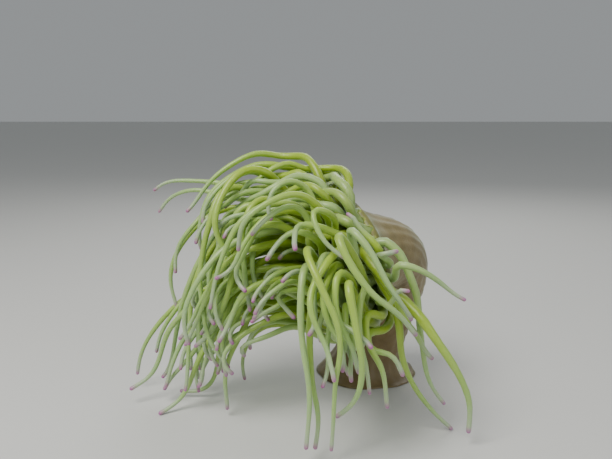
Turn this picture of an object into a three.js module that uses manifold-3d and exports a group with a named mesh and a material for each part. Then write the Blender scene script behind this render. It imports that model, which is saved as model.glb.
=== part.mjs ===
// A snakelocks sea anemone at life size: a foot and a bent column carry an oral disc that faces aside,
// and its crown of long tentacles streams over and hangs to the ground.
// Millimetres, +Z up, the ground at z = 0, the origin at the middle of the foot's sole. The crown streams
// towards -X and -Y.
import * as THREE from "three";
import Module from "manifold-3d";

// ---- driving dimensions
const GAP = 0.3; // between neighbouring solids

const FOOT_RADIUS = 30;
const FOOT_HEIGHT = 5;
const FOOT_FLARE = 7; // height over which the foot narrows to the column
const WAIST_RADIUS = 18;
const COLLAR_RADIUS = 33;
const COLLAR_FLARE = 9;
const COLUMN_SIDES = 20;
const COLLAR_LENGTH = 16;

const DISC_CENTRE = new THREE.Vector3(-16, -48, 77.5);
const DISC_FACING = new THREE.Vector3(-0.86, -0.47, -0.2).normalize();
const DISC_RADIUS = 36.2;
const DISC_THICKNESS = 5;
const FOOT_RISE = 31; // how high the column stands before it starts to lean
const DISC_BEND = 62; // how far behind the disc the column starts to turn towards it
const DISC_FACET = 12; // degrees of the disc's edge to a facet
const MOUTH_FIELD_RADIUS = 14.8; // the bare middle of the disc
const LIP_RADIUS = 5;
const LIP_THICKNESS = 1.7;
const LIP_HEIGHT = 3;
const LIP_NARROWING = 0.62; // the mouth is a slit, narrower than it is tall
const LIP_STRETCH = 1.15;
const MOUTH_RISE = 2.6; // of the bare middle towards the lips
const THROAT_RADIUS = 1;
const MOUTH_SIDES = 20;
const LIP_SIDES = 14;
const LIP_SECTION_POINTS = 6;

// Rings of tentacle roots on the disc, from the margin inwards. Splay is how far they lean away from the
// disc's facing.
const RINGS = [
  { radius: 33, count: 37, splay: 58 },
  { radius: 27.8, count: 31, splay: 42 },
  { radius: 22.6, count: 25, splay: 28 },
  { radius: 17.4, count: 19, splay: 14 },
];
const ROOT_RADIUS = 2.5;
const FACE_RADIUS = 2.2; // a root's ring in the disc's face
const TIP_RADIUS = 0.9;
const TAPER = 1.05;
const GIRTH_SPREAD = 0.22; // between the slimmest and the stoutest tentacle, as a share
const FACET_GIRTH = 1.1; // corners of a facetted tentacle stand this much outside the round one
const TIP_ROUNDING = 0.75; // share of the tip's radius left at the facetted end
const ROOT_GAP = 0.4; // between a divided tentacle and the disc's face
const START_BEND = 1.1; // how much a root already leans to where its tentacle goes
const START_REACH = 7; // how far a tentacle runs straight out
const ROOT_HOLD = 3; // stations over which the disc holds a tentacle in place
const LEAST_LENGTH = 60;
const HOOK_STATIONS = 7; // stations over which a tip curls
const HOOK_REACH = 10; // how far the most curled tip turns aside
const STRAY_HOOK_REACH = 4; // and that of a stray
const HOOK_DROOP = 0.35; // how much a curled tip hangs
const HOOK_RETURN = 0.5; // and how far back, against that
const STRAYING = 14; // twice how far a bundle's tentacles wander from its way at their tips
const STATIONS = 36; // steps along a tentacle's centre line
const SMOOTHING_PASSES = 3;
const TENTACLE_SIDES = 5;
const ROW_LENGTH = 29; // of a facetted tentacle, shorter where it bends
const BEND_WEIGHT = 14; // millimetres of length that a turn of one radian counts for
const CLEARANCE = 2.4; // kept between tentacles where they pass each other
const COLUMN_CLEARANCE = 1;
const SETTLING_STEPS = 100;
const LONGEST_PUSH = 1.5;
const SHIFT_SMOOTHING = 0.4; // how much a station moves along with its neighbours on the line
const LISTING_STEPS = 8; // settling steps between two looks for neighbours
const LISTING_REACH = 4; // how far apart two stations may be to be listed as neighbours
const BULGES = 28; // balls that stand for the column while the tentacles settle
const BULGE_MARGIN = 6; // how far short of the disc they end
const GROUND_DIP = 0.25; // how far a tentacle's underside is pressed flat where it lies on the ground

// Bundles: the tentacles of a stretch of the disc that stream together. "from" and "to" are degrees round
// the disc, "via" is where the middle of the bundle passes, and "spread" is its width there at first and last,
// against its width at the roots.
const BUNDLES = [
  { name: "top_sweep", rings: [0], from: 30, to: 86, shorten: 0.3,
    via: [[-27, -45, 112], [-54, -51, 116], [-75, -53, 109], [-87, -55, 92], [-93, -55, 72]],
    spread: [1, 1.3] },
  { name: "upper_sweep", rings: [1], from: 30, to: 118, shorten: 0.34,
    via: [[-36, -51, 111], [-61, -57, 113], [-78, -61, 104], [-87, -63, 84], [-91, -63, 60]],
    spread: [1, 1.5] },
  { name: "back_fall", rings: [0], from: 86, to: 126, shorten: 0.34,
    via: [[-24, -13, 113], [-29, 17, 104], [-34, 31, 72], [-39, 35, 30]], spread: [1, 1.4] },
  { name: "left_fall", rings: [0], from: 126, to: 190, shorten: 0.2,
    via: [[-47, -29, 95], [-69, -35, 93], [-86, -39, 73], [-95, -39, 41], [-100, -41, 13], [-111, -45, 1]],
    spread: [0.9, 1] },
  { name: "left_shelf", rings: [1], from: 118, to: 190, shorten: 0.22,
    via: [[-47, -33, 92], [-69, -41, 88], [-85, -47, 68], [-92, -48, 38], [-96, -49, 12], [-106, -54, 1]],
    spread: [0.9, 1] },
  { name: "low_left", rings: [0, 1], from: 190, to: 246, shorten: 0.25,
    via: [[-50, -35, 58], [-76, -41, 53], [-98, -45, 34], [-110, -47, 10], [-121, -51, 1]],
    spread: [0.9, 1.3] },
  { name: "low_arc", rings: [0, 1], from: 246, to: 282, shorten: 0.34,
    via: [[-42, -61, 53], [-58, -67, 53], [-73, -71, 39], [-80, -73, 19]], spread: [0.9, 1.3] },
  { name: "front_fall", rings: [0, 1], from: 282, to: 345, shorten: 0.34,
    via: [[-18, -95, 66], [-21, -103, 54], [-18, -106, 39], [-15, -106, 25]], spread: [0.9, 1.4] },
  { name: "right_low", rings: [0, 1], from: 345, to: 30, shorten: 0.34,
    via: [[0, -89, 73], [10, -93, 61], [14, -93, 45], [13, -91, 28]], spread: [0.9, 1.3] },
  { name: "over_top", rings: [2, 3], from: 20, to: 58, shorten: 0.34,
    via: [[-28, -81, 103], [-40, -88, 109], [-51, -94, 103], [-57, -97, 87]], spread: [1, 1.5] },
  { name: "left_curtain", rings: [2, 3], from: 58, to: 128, shorten: 0.34,
    via: [[-41, -67, 107], [-60, -73, 105], [-73, -77, 85], [-78, -79, 52]], spread: [1, 1.5] },
  { name: "mid_left", rings: [2, 3], from: 128, to: 200, shorten: 0.28,
    via: [[-46, -59, 90], [-66, -65, 84], [-80, -69, 60], [-88, -69, 26], [-92, -72, 4]],
    spread: [1, 1.6] },
  { name: "mid_arc", rings: [2, 3], from: 200, to: 262, shorten: 0.34,
    via: [[-46, -65, 76], [-66, -71, 71], [-78, -75, 52], [-84, -77, 25]], spread: [1, 1.5] },
  { name: "inner_arc", rings: [2, 3], from: 262, to: 318, shorten: 0.5,
    via: [[-39, -77, 75], [-49, -83, 77], [-56, -87, 68], [-57, -89, 58]], spread: [0.9, 1.4] },
  { name: "front_hook", rings: [2, 3], from: 318, to: 20, shorten: 0.34,
    via: [[-25, -99, 84], [-29, -109, 72], [-25, -113, 57], [-19, -114, 44]], spread: [0.9, 1.4] },
];

// Strays: single tentacles that leave their bundle. "ring" and "at" give the root and "via" the way it
// goes. The long ones are divided.
const STRAYS = [
  { name: "crest", ring: 0, at: 92, long: true,
    via: [[-48, -35, 124], [-62, -39, 130], [-86, -43, 117], [-95, -45, 100]] },
  { name: "far_left", ring: 0, at: 140, long: true,
    via: [[-77, -11, 113], [-101, -5, 115], [-116, -3, 114], [-123, -3, 109]] },
  { name: "far_left_twin", ring: 1, at: 132,
    via: [[-74, -20, 106], [-98, -15, 111], [-112, -12, 106], [-118, -12, 96]] },
  { name: "left_rim", ring: 0, at: 126,
    via: [[-77, -25, 109], [-97, -33, 93], [-105, -35, 81], [-106, -35, 68]] },
  { name: "left_outer", ring: 0, at: 150, long: true,
    via: [[-82, -19, 101], [-103, -27, 84], [-110, -29, 66], [-108, -31, 47]] },
  { name: "crossing", ring: 1, at: 105, long: true,
    via: [[-65, -57, 123], [-75, -65, 111], [-75, -69, 97], [-64, -73, 76], [-51, -75, 57]] },
  { name: "curtain_left", ring: 1, at: 120, long: true,
    via: [[-72, -55, 116], [-82, -63, 95], [-85, -67, 72], [-80, -71, 42], [-70, -71, 30]] },
  { name: "curtain_mid", ring: 2, at: 100,
    via: [[-58, -65, 110], [-66, -73, 100], [-66, -75, 86], [-59, -77, 60]] },
  { name: "arch_mid", ring: 2, at: 150,
    via: [[-47, -61, 100], [-61, -69, 92], [-63, -71, 79], [-56, -73, 64]] },
  { name: "hook_top", ring: 3, at: 60,
    via: [[-36, -75, 119], [-44, -81, 123], [-51, -85, 119], [-53, -87, 111], [-51, -87, 105]] },
  { name: "hook_mid", ring: 3, at: 120,
    via: [[-35, -63, 90], [-42, -67, 92], [-47, -71, 88], [-48, -73, 83]] },
  { name: "low_arch", ring: 1, at: 200,
    via: [[-53, -55, 73], [-70, -63, 69], [-78, -67, 53], [-77, -69, 36], [-73, -71, 24]] },
  { name: "low_sweep", ring: 1, at: 230,
    via: [[-59, -47, 56], [-77, -57, 50], [-86, -61, 33], [-92, -63, 15]] },
  { name: "low_dark", ring: 0, at: 250, via: [[-58, -31, 38], [-68, -33, 29], [-73, -33, 6]] },
  { name: "far_low", ring: 0, at: 205, long: true,
    via: [[-96, -21, 55], [-115, -25, 41], [-127, -27, 24], [-134, -29, 8]] },
  { name: "front_left", ring: 1, at: 318, long: true,
    via: [[-30, -99, 90], [-35, -109, 76], [-36, -112, 57], [-34, -114, 33], [-36, -115, 8]] },
  { name: "front_twin", ring: 0, at: 306, long: true,
    via: [[-26, -95, 78], [-32, -105, 64], [-33, -109, 40], [-30, -110, 20], [-32, -111, 6]] },
  { name: "front_mid", ring: 3, at: 345, long: true,
    via: [[-34, -103, 95], [-30, -113, 82], [-21, -117, 62], [-23, -118, 37], [-24, -117, 8]] },
  { name: "front_loop", ring: 2, at: 330,
    via: [[-24, -105, 85], [-25, -113, 69], [-17, -115, 55], [-16, -114, 41]] },
  { name: "front_long", ring: 0, at: 322,
    via: [[-20, -109, 86], [-16, -115, 69], [-12, -117, 50], [-14, -116, 32], [-22, -115, 19]] },
  { name: "front_tip", ring: 1, at: 330,
    via: [[-16, -103, 79], [-14, -109, 61], [-10, -111, 46], [-7, -111, 32]] },
  { name: "front_right", ring: 0, at: 338,
    via: [[-12, -103, 68], [-11, -108, 55], [-3, -110, 43], [0, -109, 24]] },
  { name: "front_side", ring: 0, at: 330,
    via: [[-9, -95, 57], [-7, -103, 50], [2, -105, 48], [8, -105, 38]] },
  { name: "right_near", ring: 1, at: 350, long: true,
    via: [[-24, -103, 102], [-19, -110, 91], [-9, -113, 78], [4, -111, 68], [12, -109, 55]] },
  { name: "right_thin", ring: 1, at: 10,
    via: [[-17, -95, 103], [-8, -103, 94], [0, -106, 80], [13, -103, 63]] },
  { name: "right_long", ring: 0, at: 350, long: true, girth: 1.2,
    via: [[4, -89, 66], [14, -97, 60], [30, -99, 42], [39, -97, 24], [41, -95, 6]] },
  { name: "right_reach", ring: 0, at: 0, long: true,
    via: [[3, -95, 88], [13, -98, 86], [24, -95, 79], [36, -91, 68]] },
  { name: "right_trail", ring: 1, at: 17,
    via: [[3, -86, 56], [9, -84, 38], [17, -82, 22], [28, -81, 8], [38, -79, 1]] },
  { name: "right_trail_near", ring: 0, at: 29,
    via: [[10, -86, 66], [18, -83, 46], [23, -81, 27], [31, -81, 12]] },
  { name: "right_short", ring: 0, at: 10, via: [[-4, -89, 89], [0, -93, 91], [6, -91, 92]] },
  { name: "right_up", ring: 0, at: 24, via: [[-6, -83, 94], [-12, -83, 102], [-16, -83, 110]] },
  { name: "right_hook", ring: 2, at: 40,
    via: [[-26, -93, 110], [-33, -97, 112], [-30, -103, 102], [-19, -105, 89]] },
  { name: "right_tip", ring: 1, at: 342, via: [[3, -99, 70], [5, -103, 77], [10, -103, 79]] },
];

// ---- materials
const flesh = (colour) => new THREE.MeshStandardMaterial({ color: colour, roughness: 0.4, metalness: 0 });
const COLUMN_FLESH = flesh(0x6e5f2a);
const DISC_FLESH = flesh(0x6b7326);
const TENTACLE_FLESH = flesh(0x8fa255);

// ---- the disc's own axes: across points to the near side, rise up the disc's face, facing out of it
const UP = new THREE.Vector3(0, 0, 1);
const ACROSS = new THREE.Vector3().crossVectors(UP, DISC_FACING).normalize();
const RISE = new THREE.Vector3().crossVectors(DISC_FACING, ACROSS);
const DISC_PLACE = new THREE.Matrix4().makeBasis(ACROSS, RISE, DISC_FACING).setPosition(DISC_CENTRE);

const vector = (place) => new THREE.Vector3(...place);
const turn = (degrees) => THREE.MathUtils.degToRad(degrees);

// A fixed value from 0 to 1 for each whole number, so that the crown is uneven in the same way every time.
function chance(seed) {
  const value = Math.sin(seed * 12.9898 + 4.1414) * 43758.5453;
  return value - Math.floor(value);
}

// Whether an angle lies from one bearing to another, in the direction of increasing angle.
function between(angle, from, to) {
  return from < to ? angle >= from && angle < to : angle >= from || angle < to;
}

// ---- centre lines

// Every root on the disc: where it stands, which way it grows and its bearing round the disc.
function allRoots() {
  const roots = [];
  RINGS.forEach((ring, row) => {
    for (let index = 0; index < ring.count; index++) {
      const bearing = ((index + 0.5 * (row % 2)) * 360) / ring.count;
      const outward = ACROSS.clone().multiplyScalar(Math.cos(turn(bearing)))
        .addScaledVector(RISE, Math.sin(turn(bearing)));
      const growth = DISC_FACING.clone().multiplyScalar(Math.cos(turn(ring.splay)))
        .addScaledVector(outward, Math.sin(turn(ring.splay)));
      const place = DISC_CENTRE.clone().addScaledVector(outward, ring.radius);
      roots.push({ seed: roots.length, row, bearing, place, growth });
    }
  });
  return roots;
}

// A smooth line from a root through its waypoints, as evenly spaced stations.
function centreLine(root, waypoints) {
  const towards = waypoints[0].clone().sub(root.place).normalize();
  const start = root.growth.clone().addScaledVector(towards, START_BEND).normalize();
  const points = [root.place, root.place.clone().addScaledVector(start, START_REACH), ...waypoints];
  return new THREE.CatmullRomCurve3(points, false, "centripetal").getSpacedPoints(STATIONS);
}

// Smooths a line and keeps its two ends.
function smoothed(line) {
  for (let pass = 0; pass < SMOOTHING_PASSES; pass++) {
    const old = line.map((point) => point.clone());
    for (let i = 1; i < line.length - 1; i++)
      line[i].addVectors(old[i - 1], old[i + 1]).multiplyScalar(0.25).addScaledVector(old[i], 0.5);
  }
  return line;
}

// The first share of a line, as the same number of stations.
function shortened(line, share) {
  return line.map((_, i) => {
    const at = i * share;
    const low = Math.min(Math.floor(at), line.length - 2);
    return line[low].clone().lerp(line[low + 1], at - low);
  });
}

// Curls the last stretch of a line to one side and back.
function hooked(line, root, mostReach) {
  const onward = line[STATIONS].clone().sub(line[STATIONS - 2]).normalize();
  const aside = new THREE.Vector3(...[1, 2, 3].map((k) => chance(root.seed * 5 + k) - 0.5));
  aside.addScaledVector(UP, -HOOK_DROOP);
  aside.addScaledVector(onward, -aside.dot(onward)).normalize().addScaledVector(onward, -HOOK_RETURN);
  const reach = mostReach * chance(root.seed * 17 + 3);
  for (let i = 1; i <= HOOK_STATIONS; i++)
    line[STATIONS - HOOK_STATIONS + i].addScaledVector(aside, reach * (i / HOOK_STATIONS) ** 2);
  return line;
}

const lengthOf = (line) => line.slice(1).reduce((sum, point, i) => sum + point.distanceTo(line[i]), 0);

// The line of a bundle's tentacle: the bundle's way, moved aside as the root stands aside in its patch.
function bundleLine(root, bundle, patchCentre) {
  const way = bundle.via.map(vector);
  const reach = way.map((point) => Math.hypot(point.x - patchCentre.x, point.y - patchCentre.y));
  const furthest = way[reach.indexOf(Math.max(...reach))];
  const heading = new THREE.Vector3(furthest.x - patchCentre.x, furthest.y - patchCentre.y, 0).normalize();
  const sideways = new THREE.Vector3().crossVectors(UP, heading);
  const offset = root.place.clone().sub(patchCentre);
  const aside = offset.dot(sideways);
  const above = offset.addScaledVector(sideways, -aside).dot(RISE);
  const [tight, wide] = bundle.spread;
  const waypoints = way.map((point, i) => {
    const previous = i ? way[i - 1] : patchCentre;
    const next = way[Math.min(i + 1, way.length - 1)];
    const along = next.clone().sub(previous);
    along.addScaledVector(sideways, -along.dot(sideways)).normalize();
    const outward = new THREE.Vector3().crossVectors(along, sideways);
    const share = (i + 1) / way.length;
    const width = tight + (wide - tight) * (i / (way.length - 1));
    const straying = new THREE.Vector3(...[1, 2, 3].map((k) => chance(root.seed * 7 + i * 3 + k) - 0.5));
    return point.clone().addScaledVector(sideways, width * aside).addScaledVector(outward, width * above)
      .addScaledVector(straying, STRAYING * share);
  });
  const line = smoothed(centreLine(root, waypoints));
  const share = 1 - bundle.shorten * chance(root.seed * 3 + 11);
  const kept = Math.max(share, Math.min(1, LEAST_LENGTH / lengthOf(line)));
  return hooked(shortened(line, kept), root, HOOK_REACH);
}

const girthOf = (root) => 1 + GIRTH_SPREAD * (chance(root.seed * 19 + 7) - 0.5);

// All tentacles: strays take the roots nearest to their bearing, and bundles share out the others.
function growCrown() {
  const free = new Set(allRoots());
  const crown = [];
  for (const stray of STRAYS) {
    const off = (root) => Math.abs(((root.bearing - stray.at + 540) % 360) - 180);
    const root = [...free].filter((r) => r.row === stray.ring).sort((a, b) => off(a) - off(b))[0];
    free.delete(root);
    const line = hooked(smoothed(centreLine(root, stray.via.map(vector))), root, STRAY_HOOK_REACH);
    crown.push({ root, line, owner: stray, girth: stray.girth ?? girthOf(root) });
  }
  for (const bundle of BUNDLES) {
    const members = [...free].filter(
      (root) => bundle.rings.includes(root.row) && between(root.bearing, bundle.from, bundle.to),
    );
    const middle = new THREE.Vector3();
    members.forEach((root) => middle.addScaledVector(root.place, 1 / members.length));
    for (const root of members) {
      free.delete(root);
      const line = bundleLine(root, bundle, middle);
      crown.push({ root, line, owner: bundle, girth: girthOf(root) });
    }
  }
  return crown;
}

const stationRadius = (share, girth) =>
  girth * (TIP_RADIUS + (ROOT_RADIUS - TIP_RADIUS) * Math.max(1 - share, 0) ** TAPER);

// ---- the column's centre line and girth
const COLUMN_LINE = new THREE.CubicBezierCurve3(
  new THREE.Vector3(0, 0, 0),
  new THREE.Vector3(0, 0, FOOT_RISE),
  DISC_CENTRE.clone().addScaledVector(DISC_FACING, -DISC_BEND),
  DISC_CENTRE.clone().addScaledVector(DISC_FACING, -DISC_THICKNESS - GAP),
);
const COLUMN_LENGTH = COLUMN_LINE.getLength();
function columnRadius(height) {
  const foot = (FOOT_RADIUS - WAIST_RADIUS) * Math.exp(-height / FOOT_FLARE);
  const collar = (COLLAR_RADIUS - WAIST_RADIUS) * Math.exp((height - COLUMN_LENGTH) / COLLAR_FLARE);
  return WAIST_RADIUS + foot + collar;
}

// Moves tentacles that pass through each other, the column or the ground apart, a little at a time.
function settle(crown) {
  const stations = crown.flatMap((tentacle, owner) =>
    tentacle.line.map((start, i) => ({
      owner, start, i, place: start.clone(), shift: new THREE.Vector3(), push: new THREE.Vector3(),
      radius: stationRadius(i / STATIONS, tentacle.girth), give: THREE.MathUtils.clamp(i / ROOT_HOLD, 0, 1),
    })),
  );
  const bulges = Array.from({ length: BULGES }, (_, i) => {
    const height = (i / BULGES) * (COLUMN_LENGTH - BULGE_MARGIN);
    return { place: COLUMN_LINE.getPointAt(height / COLUMN_LENGTH), radius: columnRadius(height) };
  });
  let near = [];
  const apart = new THREE.Vector3();
  for (let step = 0; step < SETTLING_STEPS; step++) {
    if (step % LISTING_STEPS === 0) {
      near = [];
      for (let a = 0; a < stations.length; a++)
        for (let b = a + 1; b < stations.length; b++) {
          const [one, two] = [stations[a], stations[b]];
          if (one.owner === two.owner) continue;
          const reach = one.radius + two.radius + LISTING_REACH;
          if (one.place.distanceToSquared(two.place) < reach * reach) near.push([one, two]);
        }
    }
    for (const station of stations) station.push.set(0, 0, 0);
    for (const [one, two] of near) {
      apart.subVectors(one.place, two.place);
      const distance = apart.length() + 1e-6;
      const lack = one.radius + two.radius + CLEARANCE - distance;
      if (lack <= 0) continue;
      apart.multiplyScalar((0.5 * lack) / distance);
      one.push.add(apart);
      two.push.sub(apart);
    }
    for (const station of stations) {
      station.push.clampLength(0, LONGEST_PUSH);
      for (const bulge of bulges) {
        apart.subVectors(station.place, bulge.place);
        const distance = apart.length();
        const lack = bulge.radius + station.radius + COLUMN_CLEARANCE - distance;
        if (lack > 0) station.push.addScaledVector(apart, (0.5 * lack) / distance);
      }
      station.shift.addScaledVector(station.push, station.give);
    }
    const before = stations.map((station) => station.shift.clone());
    stations.forEach((station, n) => {
      if (station.i === STATIONS) station.shift.lerp(before[n - 1], 0.5);
      else if (station.i > 0) {
        const beside = before[n - 1].clone().add(before[n + 1]).multiplyScalar(0.5);
        station.shift.lerp(beside, SHIFT_SMOOTHING);
      }
      station.shift.multiplyScalar(station.give);
      station.place.addVectors(station.start, station.shift);
      const sunk = station.radius - GROUND_DIP - station.place.z;
      if (sunk > 0 && station.give > 0) {
        station.place.z += sunk;
        station.shift.z += sunk;
      }
    });
  }
  crown.forEach((tentacle, owner) => {
    tentacle.line = stations.filter((station) => station.owner === owner).map((station) => station.place);
  });
  return crown;
}

// ---- solids
const wasm = await Module();
wasm.setup();

// One solid from geometries that together close a surface. Corners nearer to each other than WELD are one.
const WELD = 1e-3;
function solidFrom(...geometries) {
  const corners = [];
  const triVerts = [];
  for (const geometry of geometries) {
    const position = (geometry.index ? geometry.toNonIndexed() : geometry).getAttribute("position");
    for (let i = 0; i < position.count; i++) {
      const [x, y, z] = [position.getX(i), position.getY(i), position.getZ(i)];
      let corner = corners.findIndex(
        (c) => Math.abs(c[0] - x) < WELD && Math.abs(c[1] - y) < WELD && Math.abs(c[2] - z) < WELD,
      );
      if (corner < 0) corner = corners.push([x, y, z]) - 1;
      triVerts.push(corner);
    }
  }
  return new wasm.Manifold(new wasm.Mesh({
    numProp: 3,
    vertProperties: new Float32Array(corners.flat()),
    triVerts: new Uint32Array(triVerts),
  }));
}

// A geometry without the triangles that lie where one of its coordinates has a value.
function openedAt(geometry, coordinate, value) {
  const { array } = (geometry.index ? geometry.toNonIndexed() : geometry).getAttribute("position");
  const kept = [];
  for (let i = 0; i < array.length; i += 9) {
    const triangle = array.slice(i, i + 9);
    const inPlane = [0, 3, 6].every((corner) => Math.abs(triangle[corner + coordinate] - value) < 1e-6);
    if (!inPlane) kept.push(...triangle);
  }
  return new THREE.BufferGeometry().setAttribute("position", new THREE.Float32BufferAttribute(kept, 3));
}

function meshFrom(name, solid, material) {
  const { vertProperties, numProp, triVerts } = solid.getMesh();
  const position = new Float32Array((vertProperties.length / numProp) * 3);
  for (let i = 0; i < position.length / 3; i++)
    position.set(vertProperties.subarray(i * numProp, i * numProp + 3), i * 3);
  const geometry = new THREE.BufferGeometry();
  geometry.setAttribute("position", new THREE.BufferAttribute(position, 3));
  geometry.setIndex(new THREE.BufferAttribute(new Uint32Array(triVerts), 1));
  geometry.computeVertexNormals();
  const mesh = new THREE.Mesh(geometry, material);
  mesh.name = name;
  return mesh;
}

// Evenly turning axes along a line, none of them twisting about it.
function axesAlong(line, tangents) {
  const axes = [];
  let side = null;
  line.forEach((_, i) => {
    const along = tangents ? tangents[i]
      : line[Math.min(i + 1, line.length - 1)].clone().sub(line[Math.max(i - 1, 0)]).normalize();
    if (!side) side = Math.abs(along.z) < 0.9 ? UP.clone() : new THREE.Vector3(1, 0, 0);
    side = side.clone().addScaledVector(along, -side.dot(along)).normalize();
    axes.push({ along, side, other: new THREE.Vector3().crossVectors(side, along) });
  });
  return axes;
}

// A cylinder bent along a line, with its own radius at each row; an open one has no base.
function bentCylinder(line, radii, sides, { tangents, open = false } = {}) {
  const straight = new THREE.CylinderGeometry(1, 1, 1, sides, line.length - 1);
  const geometry = open ? openedAt(straight, 1, -0.5) : straight;
  const axes = axesAlong(line, tangents);
  const position = geometry.attributes.position;
  for (let i = 0; i < position.count; i++) {
    const row = Math.round((position.getY(i) + 0.5) * (line.length - 1));
    const place = onRing(line[row], axes[row], radii[row], position.getX(i), position.getZ(i));
    position.setXYZ(i, place.x, place.y, Math.max(place.z, 0));
  }
  return geometry;
}
const onRing = (middle, { side, other }, radius, x, z) =>
  middle.clone().addScaledVector(side, x * radius).addScaledVector(other, z * radius);

// Rows for a facetted tentacle between two shares of its length, closer together where it bends more.
function rowsAlong(line, from, to) {
  const travelled = [0];
  for (let i = 1; i < line.length; i++) {
    const step = line[i].distanceTo(line[i - 1]);
    const ahead = line[Math.min(i + 1, line.length - 1)].clone().sub(line[i]);
    const behind = line[i].clone().sub(line[i - 1]);
    const bend = ahead.lengthSq() > 0 ? behind.angleTo(ahead) : 0;
    travelled.push(travelled[i - 1] + step + BEND_WEIGHT * bend);
  }
  const valueAt = (share) => {
    const at = share * (line.length - 1);
    const low = Math.min(Math.floor(at), line.length - 2);
    return travelled[low] + (travelled[low + 1] - travelled[low]) * (at - low);
  };
  const [first, last] = [valueAt(from), valueAt(to)];
  const count = Math.ceil((last - first) / ROW_LENGTH);
  return Array.from({ length: count + 1 }, (_, row) => {
    const wanted = first + ((last - first) * row) / count;
    const reached = travelled.findIndex((value) => value >= wanted - 1e-9);
    const next = THREE.MathUtils.clamp(reached, 1, line.length - 1);
    const part = (wanted - travelled[next - 1]) / (travelled[next] - travelled[next - 1]);
    const place = line[next - 1].clone().lerp(line[next], part);
    return { share: (next - 1 + part) / (line.length - 1), place };
  });
}

// One length of a tentacle. The first starts with a ring in the disc's face, which is open if the tentacle
// is rooted there. A divided tentacle is lifted off it.
function tentacleTube(tentacle, from, to, { grown = 0, rooted = false, lifted = 0 } = {}) {
  const rows = rowsAlong(tentacle.line, from, to);
  const line = rows.map((row) => row.place);
  const radii = rows.map((row) => FACET_GIRTH * stationRadius(row.share, tentacle.girth) + grown);
  const tangents = axesAlong(line).map((axes) => axes.along);
  if (from === 0) {
    tangents[0] = DISC_FACING;
    radii[0] = FACE_RADIUS + 2 * grown;
    line[0].addScaledVector(DISC_FACING, lifted);
  }
  if (to === 1) radii[radii.length - 1] *= TIP_ROUNDING;
  return bentCylinder(line, radii, TENTACLE_SIDES, { tangents, open: rooted });
}

const crown = settle(growCrown());

// ---- foot and column
const nodes = []; // name, material, solid, and fatter: what cuts its neighbours back

// A stretch of the column between two heights along its centre line.
function columnPiece(name, from, to, rowCount) {
  const heights = Array.from({ length: rowCount + 1 }, (_, i) => from + ((to - from) * i) / rowCount);
  const line = heights.map((height) => COLUMN_LINE.getPointAt(height / COLUMN_LENGTH));
  const tangents = heights.map((height) => COLUMN_LINE.getTangentAt(height / COLUMN_LENGTH));
  const stretch = (grown) => solidFrom(
    bentCylinder(line, heights.map((height) => columnRadius(height) + grown), COLUMN_SIDES, { tangents }),
  );
  nodes.push({ name, material: COLUMN_FLESH, solid: stretch(0), fatter: () => stretch(GAP) });
}
const columnMiddle = COLUMN_LENGTH / 2;
columnPiece("pedal_disc", 0, FOOT_HEIGHT, 2);
columnPiece("column_lower", FOOT_HEIGHT + GAP, columnMiddle, 6);
columnPiece("column_upper", columnMiddle + GAP, COLUMN_LENGTH - COLLAR_LENGTH - GAP, 5);
columnPiece("collar", COLUMN_LENGTH - COLLAR_LENGTH, COLUMN_LENGTH, 5);

// ---- oral disc: its bare middle rises to the mouth, a slit between two thick lips
function turned(profile, sides) {
  const points = profile.map(([radius, height]) => new THREE.Vector2(radius, height));
  return new THREE.LatheGeometry(points, sides).rotateX(Math.PI / 2);
}
function lips(grown) {
  const section = Array.from({ length: LIP_SECTION_POINTS + 1 }, (_, i) => {
    const angle = (i * 2 * Math.PI) / LIP_SECTION_POINTS;
    const radius = LIP_THICKNESS + grown;
    return [LIP_RADIUS + radius * Math.cos(angle), LIP_HEIGHT + radius * Math.sin(angle)];
  });
  section[LIP_SECTION_POINTS] = section[0];
  const ring = turned(section, LIP_SIDES).scale(LIP_NARROWING, LIP_STRETCH, 1);
  return solidFrom(ring.applyMatrix4(DISC_PLACE));
}
const middle = solidFrom(turned([
  [0, -DISC_THICKNESS],
  [MOUTH_FIELD_RADIUS, -DISC_THICKNESS],
  [MOUTH_FIELD_RADIUS, 0],
  [MOUTH_FIELD_RADIUS * 0.6, MOUTH_RISE * 0.4],
  [LIP_RADIUS + LIP_THICKNESS, MOUTH_RISE],
  [LIP_RADIUS - LIP_THICKNESS, MOUTH_RISE],
  [THROAT_RADIUS, -MOUTH_RISE / 2],
  [0, -MOUTH_RISE / 2],
], MOUTH_SIDES).applyMatrix4(DISC_PLACE));
nodes.push({
  name: "oral_disc",
  material: DISC_FLESH,
  solid: middle.subtract(lips(GAP)),
  fatter: () => middle,
});
nodes.push({ name: "mouth", material: DISC_FLESH, solid: lips(0), fatter: () => lips(GAP) });

// ---- crown: bundles on their slices of the disc

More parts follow.
